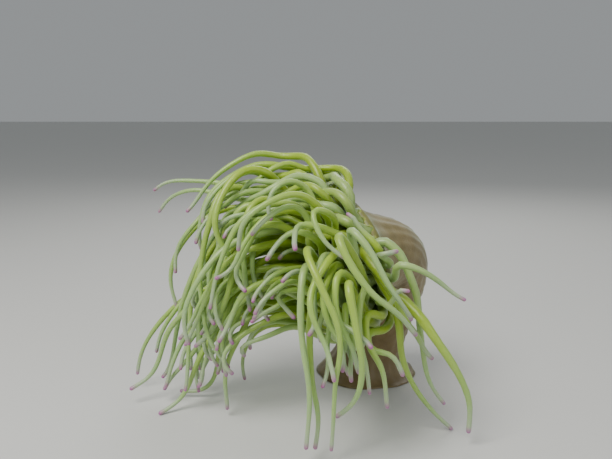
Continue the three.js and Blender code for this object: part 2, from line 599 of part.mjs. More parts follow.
// The outline, in the disc's plane, of the part that carries a bundle. It ends halfway to the next root or
// ring on each side, and "grown" widens it all round.
function sliceOutline(bundle, grown) {
  const edge = grown - GAP / 2;
  const [outerRow, innerRow] = [bundle.rings[0], bundle.rings[bundle.rings.length - 1]];
  const ends = (row) => {
    const { count, radius } = RINGS[row];
    const pitch = 360 / count;
    const phase = 0.5 * (row % 2) * pitch;
    const halfway = (bearing) => turn((Math.ceil((bearing - phase) / pitch) - 0.5) * pitch + phase);
    const to = bundle.to < bundle.from ? bundle.to + 360 : bundle.to;
    return { start: halfway(bundle.from) - edge / radius, end: halfway(to) + edge / radius };
  };
  const midway = (row) => (RINGS[row].radius + RINGS[row + 1].radius) / 2;
  const rim = (outerRow === 0 ? DISC_RADIUS - GAP / 2 : midway(outerRow - 1)) + edge;
  const hole = (innerRow === RINGS.length - 1 ? MOUTH_FIELD_RADIUS + GAP / 2 : midway(innerRow)) - edge;
  const [wide, narrow] = [ends(outerRow), ends(innerRow)];
  const outline = new THREE.Shape().absarc(0, 0, rim, wide.start, wide.end, false);
  if (outerRow !== innerRow) { // the two rings end at different roots, so each end has a step
    const step = (overhang) => midway(outerRow) - edge * Math.sign(overhang);
    const corner = (radius, angle) => outline.lineTo(radius * Math.cos(angle), radius * Math.sin(angle));
    corner(step(wide.end - narrow.end), wide.end);
    corner(step(wide.end - narrow.end), narrow.end);
    outline.absarc(0, 0, hole, narrow.end, narrow.start, true);
    corner(step(narrow.start - wide.start), narrow.start);
    corner(step(narrow.start - wide.start), wide.start);
  } else outline.absarc(0, 0, hole, narrow.end, narrow.start, true);
  const facets = Math.max(1, Math.round((wide.end - wide.start) / turn(2 * DISC_FACET)));
  return outline.extractPoints(facets).shape;
}

// A bundle's part of the disc as a plate below the face, open there when it carries roots.
function slicePlate(bundle, grown, open) {
  const outline = new THREE.Shape(sliceOutline(bundle, grown));
  const depth = DISC_THICKNESS + 2 * grown;
  const plate = new THREE.ExtrudeGeometry(outline, { depth, bevelEnabled: false });
  plate.translate(0, 0, -DISC_THICKNESS - grown);
  return (open ? openedAt(plate, 2, 0) : plate).applyMatrix4(DISC_PLACE);
}

// The face of a bundle's part of the disc, with a hole for each root's ring.
function sliceFace(bundle, members) {
  const face = new THREE.Shape(sliceOutline(bundle, 0));
  const fromDisc = DISC_PLACE.clone().invert();
  for (const { root, line } of members) {
    const { side, other } = axesAlong(line, line.map(() => DISC_FACING))[0];
    const ring = Array.from({ length: TENTACLE_SIDES }, (_, i) => {
      const angle = (i * 2 * Math.PI) / TENTACLE_SIDES;
      const corner = onRing(root.place, { side, other }, FACE_RADIUS, Math.sin(angle), Math.cos(angle));
      return corner.applyMatrix4(fromDisc);
    });
    face.holes.push(new THREE.Path(ring.map(({ x, y }) => new THREE.Vector2(x, y))));
  }
  return new THREE.ShapeGeometry(face).applyMatrix4(DISC_PLACE);
}
const union = (solids) => solids.reduce((sum, solid) => sum.add(solid));
for (const bundle of BUNDLES) {
  const members = crown.filter(({ root, owner }) => !owner.long
    && bundle.rings.includes(root.row) && between(root.bearing, bundle.from, bundle.to));
  const tubes = (options) => members.map((member) => tentacleTube(member, 0, 1, options));
  nodes.push({
    name: `bundle_${bundle.name}`,
    material: TENTACLE_FLESH,
    solid: solidFrom(slicePlate(bundle, 0, true), sliceFace(bundle, members), ...tubes({ rooted: true })),
    fatter: () => union([
      solidFrom(slicePlate(bundle, GAP, false)),
      ...tubes({ grown: GAP }).map((tube) => solidFrom(tube)),
    ]),
  });
}

// ---- crown: the long strays, each divided into three lengths
const THIRDS = ["root", "middle", "tip"];
for (const tentacle of crown.filter(({ owner }) => owner.long)) {
  const halfGap = GAP / 2 / lengthOf(tentacle.line);
  THIRDS.forEach((third, n) => {
    const from = n ? n / 3 + halfGap : 0;
    const to = n < 2 ? (n + 1) / 3 - halfGap : 1;
    const whole = (grown) => solidFrom(tentacleTube(tentacle, from, to, { grown, lifted: ROOT_GAP }));
    nodes.push({
      name: `${tentacle.owner.name}_${third}`,
      material: TENTACLE_FLESH,
      solid: whole(0),
      fatter: () => whole(GAP),
    });
  });
}

// ---- where facets of neighbours still touch, the later one is cut back
const largest = (solid) => solid.decompose().reduce((a, b) => (a.volume() >= b.volume() ? a : b));
const LEAST_OVERLAP = 1e-4; // cubic millimetres
const SMALLEST_DETAIL = 0.02; // slivers thinner than this are smoothed away after a cut
const touching = (a, b) => a.solid.intersect(b.solid).volume() > LEAST_OVERLAP;
nodes.forEach((node, n) => {
  for (const earlier of nodes.slice(0, n)) {
    if (!touching(earlier, node)) continue;
    earlier.cutter ??= earlier.fatter().add(earlier.solid);
    node.solid = node.solid.subtract(earlier.cutter);
  }
  node.solid = largest(node.solid.simplify(SMALLEST_DETAIL));
});

const group = new THREE.Group();
for (const { name, solid, material } of nodes) group.add(meshFrom(name, solid, material));
export default group;
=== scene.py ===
"""A snakelocks sea anemone at life size: a soft foot and a bent column carry an oral disc that faces aside,
and a crown of long pink-tipped tentacles streams over and hangs to the ground."""

import math

import bpy
import numpy as np
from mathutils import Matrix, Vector
from mathutils.kdtree import KDTree


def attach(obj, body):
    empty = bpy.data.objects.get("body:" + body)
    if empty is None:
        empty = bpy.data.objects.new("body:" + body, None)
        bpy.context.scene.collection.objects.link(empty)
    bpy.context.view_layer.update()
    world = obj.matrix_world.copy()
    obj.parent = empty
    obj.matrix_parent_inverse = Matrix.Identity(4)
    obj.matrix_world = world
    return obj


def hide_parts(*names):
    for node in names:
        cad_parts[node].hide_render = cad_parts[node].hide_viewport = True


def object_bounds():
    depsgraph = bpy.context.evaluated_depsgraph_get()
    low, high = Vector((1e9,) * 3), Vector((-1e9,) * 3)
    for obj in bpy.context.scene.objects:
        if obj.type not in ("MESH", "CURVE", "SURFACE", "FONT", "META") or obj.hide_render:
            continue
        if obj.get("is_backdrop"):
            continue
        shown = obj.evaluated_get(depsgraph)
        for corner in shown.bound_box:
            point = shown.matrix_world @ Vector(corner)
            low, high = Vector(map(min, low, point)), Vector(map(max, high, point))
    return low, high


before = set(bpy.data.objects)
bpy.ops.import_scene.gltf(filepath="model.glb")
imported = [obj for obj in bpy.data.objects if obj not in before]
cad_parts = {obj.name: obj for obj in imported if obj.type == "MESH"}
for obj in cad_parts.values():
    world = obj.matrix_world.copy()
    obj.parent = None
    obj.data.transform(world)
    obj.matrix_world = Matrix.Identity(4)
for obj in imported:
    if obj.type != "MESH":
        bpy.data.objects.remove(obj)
cad_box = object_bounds()
MM = 0.001  # the sizes below are in millimetres

# ---- camera
# It looks at the crown from the front and a little from above, through an ordinary lens.
CAMERA_TARGET = (-36, -56, 96)
CAMERA_DISTANCE = 357
CAMERA_ELEVATION = 10  # degrees
LENS = 42
SENSOR_WIDTH = 36
NEAREST_SEEN = 0.01  # metres

camera_data = bpy.data.cameras.new("camera")
camera_data.lens = LENS
camera_data.sensor_width = SENSOR_WIDTH
camera_data.clip_start = NEAREST_SEEN
camera = bpy.data.objects.new("camera", camera_data)
bpy.context.scene.collection.objects.link(camera)
climb = math.radians(CAMERA_ELEVATION)
target = Vector(CAMERA_TARGET) * MM
camera.location = target + Vector((0, -math.cos(climb), math.sin(climb))) * CAMERA_DISTANCE * MM
camera.rotation_euler = (target - camera.location).to_track_quat("-Z", "Y").to_euler()
bpy.context.scene.camera = camera

# ---- studio
# A pale floor in a pale room, and three square soft lights: the main one above and to the left, a weaker
# one from the right and one from behind.
FLOOR_SIZE = 12  # metres, as are the lights' places and sizes
LIT_PLACE = Vector((-0.03, -0.03, 0.08))  # the lights face the middle of the crown
KEY_WATTS = 8
FILL_WATTS = 1.4
BACK_WATTS = 2.0
ROOM_LIGHT = 0.38


def soft_light(name, place, size, watts, colour):
    """A square area light that faces the crown."""
    data = bpy.data.lights.new(name, "AREA")
    data.size = size
    data.energy = watts
    data.color = colour
    lamp = bpy.data.objects.new(name, data)
    lamp.location = place
    lamp.rotation_euler = (LIT_PLACE - Vector(place)).to_track_quat("-Z", "Y").to_euler()
    bpy.context.scene.collection.objects.link(lamp)


soft_light("key", (-0.35, -0.45, 0.75), 0.45, KEY_WATTS, (1.0, 0.98, 0.94))
soft_light("fill", (0.65, -0.55, 0.30), 0.60, FILL_WATTS, (0.93, 0.97, 1.0))
soft_light("back", (0.10, 0.60, 0.60), 0.50, BACK_WATTS, (1.0, 1.0, 0.96))

room = bpy.data.worlds.new("room")
room.use_nodes = True
room.node_tree.nodes["Background"].inputs["Color"].default_value = (0.80, 0.84, 0.86, 1)
room.node_tree.nodes["Background"].inputs["Strength"].default_value = ROOM_LIGHT
bpy.context.scene.world = room

floor_mesh = bpy.data.meshes.new("floor")
half = FLOOR_SIZE / 2
floor_corners = [(-half, -half, 0), (half, -half, 0), (half, half, 0), (-half, half, 0)]
floor_mesh.from_pydata(floor_corners, [], [(0, 1, 2, 3)])
floor = bpy.data.objects.new("floor", floor_mesh)
bpy.context.scene.collection.objects.link(floor)
floor_paint = bpy.data.materials.new("floor_paint")
floor_paint.use_nodes = True
floor_shader = floor_paint.node_tree.nodes["Principled BSDF"]
floor_shader.inputs["Base Color"].default_value = (0.62, 0.62, 0.60, 1)
floor_shader.inputs["Roughness"].default_value = 0.8
floor_mesh.materials.append(floor_paint)
floor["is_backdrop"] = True

# ---- oral disc's place
# The disc is a thick round plate of muscle on top of the column. It faces to the left, to the front and a
# little down.
# Everything in the crown grows from it, so its place and its own axes come first.
DISC_CENTRE = np.array([-16.0, -48.0, 77.5])
DISC_FACING = np.array([-0.86, -0.47, -0.2])
DISC_FACING /= np.linalg.norm(DISC_FACING)
DISC_THICKNESS = 5.0
GAP = 0.3  # between the solids that this skin stands for
UP = np.array([0.0, 0.0, 1.0])
ACROSS = np.cross(UP, DISC_FACING)
ACROSS /= np.linalg.norm(ACROSS)
RISE = np.cross(DISC_FACING, ACROSS)


def unit(v):
    return v / np.linalg.norm(v)


# ---- tentacles: where they stand on the disc
# Hollow muscular feelers in four crowded rings round the bare mouth field, the outermost on the margin.
# Each leans outwards from the disc by its ring's splay.
RINGS = [
    {"radius": 33, "count": 37, "splay": 58},
    {"radius": 27.8, "count": 31, "splay": 42},
    {"radius": 22.6, "count": 25, "splay": 28},
    {"radius": 17.4, "count": 19, "splay": 14},
]

roots = []
for row, ring in enumerate(RINGS):
    for index in range(ring["count"]):
        bearing = (index + 0.5 * (row % 2)) * 360 / ring["count"]
        angle = math.radians(bearing)
        outward = ACROSS * math.cos(angle) + RISE * math.sin(angle)
        splay = math.radians(ring["splay"])
        roots.append({
            "seed": len(roots), "row": row, "bearing": bearing,
            "place": DISC_CENTRE + outward * ring["radius"],
            "growth": DISC_FACING * math.cos(splay) + outward * math.sin(splay),
        })

# ---- tentacles: the way each one streams
# They all drift to one side with the water, arch over and hang. Neighbours stream together in bundles, and
# single ones stray from their bundle and curl. Each follows a smooth line through a few waypoints.
ROOT_RADIUS = 2.5
TIP_RADIUS = 0.9
TAPER = 1.05  # 1 would be an even taper
GIRTH_SPREAD = 0.22  # between the slimmest and the stoutest tentacle, as a share
START_BEND = 1.1  # how much a root already leans to where its tentacle goes
START_REACH = 7  # how far a tentacle runs straight out
LEAST_LENGTH = 60  # of a bundle's tentacle after it is shortened
STATIONS = 36  # steps along a tentacle's centre line
ARC_STEPS = 200  # steps used to measure along a curve
HOOK_STATIONS = 7  # stations over which a tip curls
HOOK_REACH = 10  # how far the most curled tip turns aside
STRAY_HOOK_REACH = 4  # and that of a stray
HOOK_DROOP = 0.35  # how much a curled tip hangs
HOOK_RETURN = 0.5  # how far back it turns, against how far aside
STRAYING = 14  # twice how far a bundle's tentacles wander from its way at their tips
SMOOTHING_PASSES = 3
SAME_PLACE = 1e-4  # points nearer to each other than this are one

# Bundles: the tentacles of a stretch of the disc that stream together. "from" and "to" are degrees round the
# disc, "via" is where the middle of the bundle passes, "spread" is its width there at first and last against
# its width at the roots, and "shorten" is the share that the shortest one lacks.
BUNDLES = [
    {"name": "top_sweep", "rings": [0], "from": 30, "to": 86, "shorten": 0.3,
     "via": [[-27, -45, 112], [-54, -51, 116], [-75, -53, 109], [-87, -55, 92], [-93, -55, 72]],
     "spread": [1, 1.3]},
    {"name": "upper_sweep", "rings": [1], "from": 30, "to": 118, "shorten": 0.34,
     "via": [[-36, -51, 111], [-61, -57, 113], [-78, -61, 104], [-87, -63, 84], [-91, -63, 60]],
     "spread": [1, 1.5]},
    {"name": "back_fall", "rings": [0], "from": 86, "to": 126, "shorten": 0.34,
     "via": [[-24, -13, 113], [-29, 17, 104], [-34, 31, 72], [-39, 35, 30]], "spread": [1, 1.4]},
    {"name": "left_fall", "rings": [0], "from": 126, "to": 190, "shorten": 0.2,
     "via": [[-47, -29, 95], [-69, -35, 93], [-86, -39, 73], [-95, -39, 41], [-100, -41, 13], [-111, -45, 1]],
     "spread": [0.9, 1]},
    {"name": "left_shelf", "rings": [1], "from": 118, "to": 190, "shorten": 0.22,
     "via": [[-47, -33, 92], [-69, -41, 88], [-85, -47, 68], [-92, -48, 38], [-96, -49, 12], [-106, -54, 1]],
     "spread": [0.9, 1]},
    {"name": "low_left", "rings": [0, 1], "from": 190, "to": 246, "shorten": 0.25,
     "via": [[-50, -35, 58], [-76, -41, 53], [-98, -45, 34], [-110, -47, 10], [-121, -51, 1]],
     "spread": [0.9, 1.3]},
    {"name": "low_arc", "rings": [0, 1], "from": 246, "to": 282, "shorten": 0.34,
     "via": [[-42, -61, 53], [-58, -67, 53], [-73, -71, 39], [-80, -73, 19]], "spread": [0.9, 1.3]},
    {"name": "front_fall", "rings": [0, 1], "from": 282, "to": 345, "shorten": 0.34,
     "via": [[-18, -95, 66], [-21, -103, 54], [-18, -106, 39], [-15, -106, 25]], "spread": [0.9, 1.4]},
    {"name": "right_low", "rings": [0, 1], "from": 345, "to": 30, "shorten": 0.34,
     "via": [[0, -89, 73], [10, -93, 61], [14, -93, 45], [13, -91, 28]], "spread": [0.9, 1.3]},
    {"name": "over_top", "rings": [2, 3], "from": 20, "to": 58, "shorten": 0.34,
     "via": [[-28, -81, 103], [-40, -88, 109], [-51, -94, 103], [-57, -97, 87]], "spread": [1, 1.5]},
    {"name": "left_curtain", "rings": [2, 3], "from": 58, "to": 128, "shorten": 0.34,
     "via": [[-41, -67, 107], [-60, -73, 105], [-73, -77, 85], [-78, -79, 52]], "spread": [1, 1.5]},
    {"name": "mid_left", "rings": [2, 3], "from": 128, "to": 200, "shorten": 0.28,
     "via": [[-46, -59, 90], [-66, -65, 84], [-80, -69, 60], [-88, -69, 26], [-92, -72, 4]],
     "spread": [1, 1.6]},
    {"name": "mid_arc", "rings": [2, 3], "from": 200, "to": 262, "shorten": 0.34,
     "via": [[-46, -65, 76], [-66, -71, 71], [-78, -75, 52], [-84, -77, 25]], "spread": [1, 1.5]},
    {"name": "inner_arc", "rings": [2, 3], "from": 262, "to": 318, "shorten": 0.5,
     "via": [[-39, -77, 75], [-49, -83, 77], [-56, -87, 68], [-57, -89, 58]], "spread": [0.9, 1.4]},
    {"name": "front_hook", "rings": [2, 3], "from": 318, "to": 20, "shorten": 0.34,
     "via": [[-25, -99, 84], [-29, -109, 72], [-25, -113, 57], [-19, -114, 44]], "spread": [0.9, 1.4]},
]

# Strays: single tentacles that leave their bundle. "ring" and "at" give the root and "via" the way it goes.
STRAYS = [
    {"name": "crest", "ring": 0, "at": 92,
     "via": [[-48, -35, 124], [-62, -39, 130], [-86, -43, 117], [-95, -45, 100]]},
    {"name": "far_left", "ring": 0, "at": 140,
     "via": [[-77, -11, 113], [-101, -5, 115], [-116, -3, 114], [-123, -3, 109]]},
    {"name": "far_left_twin", "ring": 1, "at": 132,
     "via": [[-74, -20, 106], [-98, -15, 111], [-112, -12, 106], [-118, -12, 96]]},
    {"name": "left_rim", "ring": 0, "at": 126,
     "via": [[-77, -25, 109], [-97, -33, 93], [-105, -35, 81], [-106, -35, 68]]},
    {"name": "left_outer", "ring": 0, "at": 150,
     "via": [[-82, -19, 101], [-103, -27, 84], [-110, -29, 66], [-108, -31, 47]]},
    {"name": "crossing", "ring": 1, "at": 105,
     "via": [[-65, -57, 123], [-75, -65, 111], [-75, -69, 97], [-64, -73, 76], [-51, -75, 57]]},
    {"name": "curtain_left", "ring": 1, "at": 120,
     "via": [[-72, -55, 116], [-82, -63, 95], [-85, -67, 72], [-80, -71, 42], [-70, -71, 30]]},
    {"name": "curtain_mid", "ring": 2, "at": 100,
     "via": [[-58, -65, 110], [-66, -73, 100], [-66, -75, 86], [-59, -77, 60]]},
    {"name": "arch_mid", "ring": 2, "at": 150,
     "via": [[-47, -61, 100], [-61, -69, 92], [-63, -71, 79], [-56, -73, 64]]},
    {"name": "hook_top", "ring": 3, "at": 60,
     "via": [[-36, -75, 119], [-44, -81, 123], [-51, -85, 119], [-53, -87, 111], [-51, -87, 105]]},
    {"name": "hook_mid", "ring": 3, "at": 120,
     "via": [[-35, -63, 90], [-42, -67, 92], [-47, -71, 88], [-48, -73, 83]]},
    {"name": "low_arch", "ring": 1, "at": 200,
     "via": [[-53, -55, 73], [-70, -63, 69], [-78, -67, 53], [-77, -69, 36], [-73, -71, 24]]},
    {"name": "low_sweep", "ring": 1, "at": 230,
     "via": [[-59, -47, 56], [-77, -57, 50], [-86, -61, 33], [-92, -63, 15]]},
    {"name": "low_dark", "ring": 0, "at": 250, "via": [[-58, -31, 38], [-68, -33, 29], [-73, -33, 6]]},
    {"name": "far_low", "ring": 0, "at": 205,
     "via": [[-96, -21, 55], [-115, -25, 41], [-127, -27, 24], [-134, -29, 8]]},
    {"name": "front_left", "ring": 1, "at": 318,
     "via": [[-30, -99, 90], [-35, -109, 76], [-36, -112, 57], [-34, -114, 33], [-36, -115, 8]]},
    {"name": "front_twin", "ring": 0, "at": 306,
     "via": [[-26, -95, 78], [-32, -105, 64], [-33, -109, 40], [-30, -110, 20], [-32, -111, 6]]},
    {"name": "front_mid", "ring": 3, "at": 345,
     "via": [[-34, -103, 95], [-30, -113, 82], [-21, -117, 62], [-23, -118, 37], [-24, -117, 8]]},
    {"name": "front_loop", "ring": 2, "at": 330,
     "via": [[-24, -105, 85], [-25, -113, 69], [-17, -115, 55], [-16, -114, 41]]},
    {"name": "front_long", "ring": 0, "at": 322,
     "via": [[-20, -109, 86], [-16, -115, 69], [-12, -117, 50], [-14, -116, 32], [-22, -115, 19]]},
    {"name": "front_tip", "ring": 1, "at": 330,
     "via": [[-16, -103, 79], [-14, -109, 61], [-10, -111, 46], [-7, -111, 32]]},
    {"name": "front_right", "ring": 0, "at": 338,
     "via": [[-12, -103, 68], [-11, -108, 55], [-3, -110, 43], [0, -109, 24]]},
    {"name": "front_side", "ring": 0, "at": 330,
     "via": [[-9, -95, 57], [-7, -103, 50], [2, -105, 48], [8, -105, 38]]},
    {"name": "right_near", "ring": 1, "at": 350,
     "via": [[-24, -103, 102], [-19, -110, 91], [-9, -113, 78], [4, -111, 68], [12, -109, 55]]},
    {"name": "right_thin", "ring": 1, "at": 10,
     "via": [[-17, -95, 103], [-8, -103, 94], [0, -106, 80], [13, -103, 63]]},
    {"name": "right_long", "ring": 0, "at": 350, "girth": 1.2,
     "via": [[4, -89, 66], [14, -97, 60], [30, -99, 42], [39, -97, 24], [41, -95, 6]]},
    {"name": "right_reach", "ring": 0, "at": 0,
     "via": [[3, -95, 88], [13, -98, 86], [24, -95, 79], [36, -91, 68]]},
    {"name": "right_trail", "ring": 1, "at": 17,
     "via": [[3, -86, 56], [9, -84, 38], [17, -82, 22], [28, -81, 8], [38, -79, 1]]},
    {"name": "right_trail_near", "ring": 0, "at": 29,
     "via": [[10, -86, 66], [18, -83, 46], [23, -81, 27], [31, -81, 12]]},
    {"name": "right_short", "ring": 0, "at": 10, "via": [[-4, -89, 89], [0, -93, 91], [6, -91, 92]]},
    {"name": "right_up", "ring": 0, "at": 24, "via": [[-6, -83, 94], [-12, -83, 102], [-16, -83, 110]]},
    {"name": "right_hook", "ring": 2, "at": 40,
     "via": [[-26, -93, 110], [-33, -97, 112], [-30, -103, 102], [-19, -105, 89]]},
    {"name": "right_tip", "ring": 1, "at": 342, "via": [[3, -99, 70], [5, -103, 77], [10, -103, 79]]},
]


def chance(seed):
    """A fixed value from 0 to 1 for each whole number. Each use takes its own multiple of a root's seed."""
    value = math.sin(seed * 12.9898 + 4.1414) * 43758.5453
    return value - math.floor(value)


def bearing_between(angle, start, end):
    """Whether a bearing lies from one to another, in the direction of increasing angle."""
    return start <= angle < end if start < end else angle >= start or angle < end


def even_stations(curve_at, count):
    """Points at even spacing along a curve given as a function of a share from 0 to 1."""
    shares = np.linspace(0, 1, ARC_STEPS + 1)
    points = np.array([curve_at(t) for t in shares])
    travelled = np.concatenate([[0], np.cumsum(np.linalg.norm(np.diff(points, axis=0), axis=1))])
    wanted = np.linspace(0, travelled[-1], count + 1)
    return np.array([curve_at(t) for t in np.interp(wanted, travelled, shares)])


def smooth_curve(points):
    """A centripetal curve through points, as a function of a share from 0 to 1."""
    last = len(points) - 1

    def curve_at(share):
        low = min(int(math.floor(last * share)), last - 1)
        weight = last * share - low
        p1, p2 = points[low], points[low + 1]
        p0 = points[low - 1] if low else 2 * points[0] - points[1]
        p3 = points[low + 2] if low + 2 <= last else 2 * points[last] - points[last - 1]
        d0, d1, d2 = (math.sqrt(np.linalg.norm(b - a)) for a, b in ((p0, p1), (p1, p2), (p2, p3)))
        d1 = d1 if d1 > SAME_PLACE else 1.0
        d0 = d0 if d0 > SAME_PLACE else d1
        d2 = d2 if d2 > SAME_PLACE else d1
        t1 = ((p1 - p0) / d0 - (p2 - p0) / (d0 + d1) + (p2 - p1) / d1) * d1
        t2 = ((p2 - p1) / d1 - (p3 - p1) / (d1 + d2) + (p3 - p2) / d2) * d1
        c2 = -3 * p1 + 3 * p2 - 2 * t1 - t2
        c3 = 2 * p1 - 2 * p2 + t1 + t2
        return p1 + t1 * weight + c2 * weight**2 + c3 * weight**3

    return curve_at


def centre_line(root, waypoints):
    """A tentacle's line: straight out of the disc, then through its waypoints, smoothed."""
    towards = unit(waypoints[0] - root["place"])
    start = unit(root["growth"] + START_BEND * towards)
    through = [root["place"], root["place"] + start * START_REACH, *waypoints]
    line = even_stations(smooth_curve(through), STATIONS)
    for _ in range(SMOOTHING_PASSES):
        line[1:-1] = 0.5 * line[1:-1] + 0.25 * (line[:-2] + line[2:])
    return line


def hooked(line, root, most_reach):
    """A line with its last stretch curled to one side and back."""
    onward = unit(line[STATIONS] - line[STATIONS - 2])
    aside = np.array([chance(root["seed"] * 5 + k) - 0.5 for k in (1, 2, 3)])
    aside -= UP * HOOK_DROOP
    aside = unit(aside - onward * (aside @ onward)) - HOOK_RETURN * onward
    reach = most_reach * chance(root["seed"] * 17 + 3)
    curl = (np.arange(1, HOOK_STATIONS + 1) / HOOK_STATIONS) ** 2
    line[-HOOK_STATIONS:] += np.outer(curl * reach, aside)
    return line


def length_of(line):
    return np.linalg.norm(np.diff(line, axis=0), axis=1).sum()


def bundle_line(root, bundle, patch_centre):
    """A bundle's way, moved aside as the root stands aside in its patch."""
    way = np.array(bundle["via"], float)
    reach = np.hypot(way[:, 0] - patch_centre[0], way[:, 1] - patch_centre[1])
    furthest = way[int(np.argmax(reach))]
    heading = unit(np.array([furthest[0] - patch_centre[0], furthest[1] - patch_centre[1], 0]))
    sideways = np.cross(UP, heading)
    offset = root["place"] - patch_centre
    aside = offset @ sideways
    above = (offset - sideways * aside) @ RISE
    tight, wide = bundle["spread"]
    waypoints = []
    for i, point in enumerate(way):
        before = way[i - 1] if i else patch_centre
        along = way[min(i + 1, len(way) - 1)] - before
        along = unit(along - sideways * (along @ sideways))
        outward = np.cross(along, sideways)
        width = tight + (wide - tight) * (i / (len(way) - 1))
        straying = np.array([chance(root["seed"] * 7 + i * 3 + k) - 0.5 for k in (1, 2, 3)])
        share = (i + 1) / len(way)
        moved = point + sideways * width * aside + outward * width * above
        waypoints.append(moved + straying * STRAYING * share)
    line = centre_line(root, waypoints)
    share = 1 - bundle["shorten"] * chance(root["seed"] * 3 + 11)
    share = max(share, min(1, LEAST_LENGTH / length_of(line)))
    at = np.arange(STATIONS + 1) * share
    kept = np.stack([np.interp(at, np.arange(STATIONS + 1), line[:, k]) for k in range(3)], axis=1)
    return hooked(kept, root, HOOK_REACH)


def girth_of(root):
    """How stout a root's tentacle is, with 1 for the usual girth."""
    return 1 + GIRTH_SPREAD * (chance(root["seed"] * 19 + 7) - 0.5)


free = list(roots)
crown = []
for stray in STRAYS:
    near = [root for root in free if root["row"] == stray["ring"]]
    root = min(near, key=lambda r: abs((r["bearing"] - stray["at"] + 540) % 360 - 180))
    free.remove(root)
    line = centre_line(root, [np.array(p, float) for p in stray["via"]])
    crown.append((root, hooked(line, root, STRAY_HOOK_REACH), stray.get("girth") or girth_of(root)))
for bundle in BUNDLES:
    members = [
        root for root in free
        if root["row"] in bundle["rings"] and bearing_between(root["bearing"], bundle["from"], bundle["to"])
    ]
    middle = np.mean([root["place"] for root in members], axis=0)
    for root in members:
        free.remove(root)
        crown.append((root, bundle_line(root, bundle, middle), girth_of(root)))

# ---- column's line
# The foot holds on to the ground, and the column rises out of it and bends over behind the disc.
FOOT_RADIUS = 30
FOOT_FLARE = 7  # height over which the foot narrows to the column
WAIST_RADIUS = 18
COLLAR_RADIUS = 33
COLLAR_FLARE = 9
FOOT_RISE = 31  # how high the column stands before it leans
DISC_BEND = 62  # how far behind the disc it starts to turn towards it
column_posts = [
    np.zeros(3), np.array([0, 0, FOOT_RISE]), DISC_CENTRE - DISC_FACING * DISC_BEND,
    DISC_CENTRE - DISC_FACING * (DISC_THICKNESS + GAP),
]


def column_at(share):
    """A point of the column's curve, from the sole at 0 to the disc's back at 1."""
    a, b, c, d = column_posts
    rest = 1 - share
    return rest**3 * a + 3 * rest**2 * share * b + 3 * rest * share**2 * c + share**3 * d


COLUMN_STEPS = 400
column_line = even_stations(column_at, COLUMN_STEPS)
COLUMN_LENGTH = length_of(column_line)


def column_radius(height):
    foot = (FOOT_RADIUS - WAIST_RADIUS) * np.exp(-height / FOOT_FLARE)
    collar = (COLLAR_RADIUS - WAIST_RADIUS) * np.exp((height - COLUMN_LENGTH) / COLLAR_FLARE)
    return WAIST_RADIUS + foot + collar


def column_point(height):
    at = height / COLUMN_LENGTH * COLUMN_STEPS
    steps = np.arange(COLUMN_STEPS + 1)
    return np.stack([np.interp(at, steps, column_line[:, k]) for k in range(3)], axis=-1)


# ---- tentacles: settling
# In the animal they lie on and beside each other. Here those that meet each other, the column or the ground
# are pushed apart a little at a time. A few still meet near the disc, and the skin joins them there.
CLEARANCE = 2.4  # aimed at between two tentacles
COLUMN_CLEARANCE = 1
SETTLING_STEPS = 100
LONGEST_PUSH = 1.5
SHIFT_SMOOTHING = 0.4  # how much a station moves along with its neighbours on the line
GROUND_DIP = 0.25  # how far an underside is pressed flat where it lies on the ground
ROOT_HOLD = 3  # stations over which the disc holds a tentacle in place
NO_DISTANCE = 1e-6  # added to a distance before it divides
NO_PUSH = 1e-9
LISTING_STEPS = 8  # settling steps between two looks for neighbours
LISTING_REACH = 4  # how far apart two stations may be to be listed as neighbours
BULGES = 28  # balls that stand for the column
BULGE_MARGIN = 6  # how far short of the disc they end

